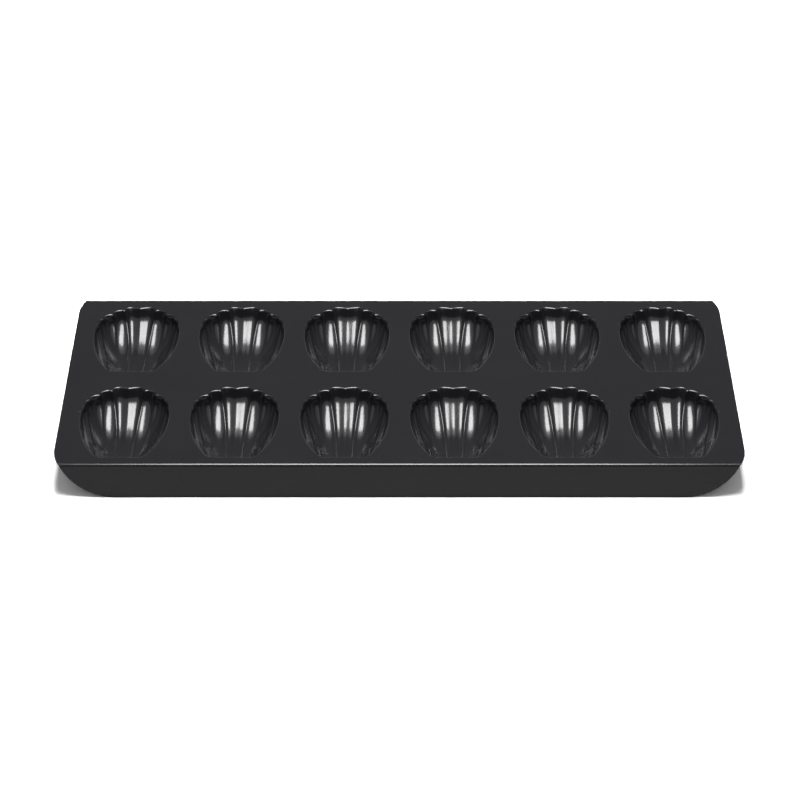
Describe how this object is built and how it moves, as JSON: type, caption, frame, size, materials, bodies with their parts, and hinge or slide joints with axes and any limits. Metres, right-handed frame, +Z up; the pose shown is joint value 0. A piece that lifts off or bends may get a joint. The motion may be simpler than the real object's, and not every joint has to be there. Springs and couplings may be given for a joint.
{
  "type": "madeleine pan",
  "caption": "Flat non-stick baking sheet with two rows of fluted shell-shaped moulds, rounded corners and both long edges folded down to stand on.",
  "frame": {"origin": "middle of the footprint, on the surface that the pan stands on", "axes": "+X along the pan, +Y to the wide scalloped ends of the shells and the rear edge, +Z up"},
  "size_m": [0.395, 0.199, 0.02],
  "materials": {
    "deck_coating": "satin black-grey non-stick coating on steel sheet",
    "cup_coating": "satin black-grey non-stick coating on drawn steel"
  },
  "bodies": {
    "root": {"deck_sheet": "deck_coating", "cup_front_1": "cup_coating", "cup_front_2": "cup_coating", "cup_front_3": "cup_coating", "cup_front_4": "cup_coating", "cup_front_5": "cup_coating", "cup_front_6": "cup_coating", "cup_rear_1": "cup_coating", "cup_rear_2": "cup_coating", "cup_rear_3": "cup_coating", "cup_rear_4": "cup_coating", "cup_rear_5": "cup_coating", "cup_rear_6": "cup_coating"}
  },
  "joints": []
}
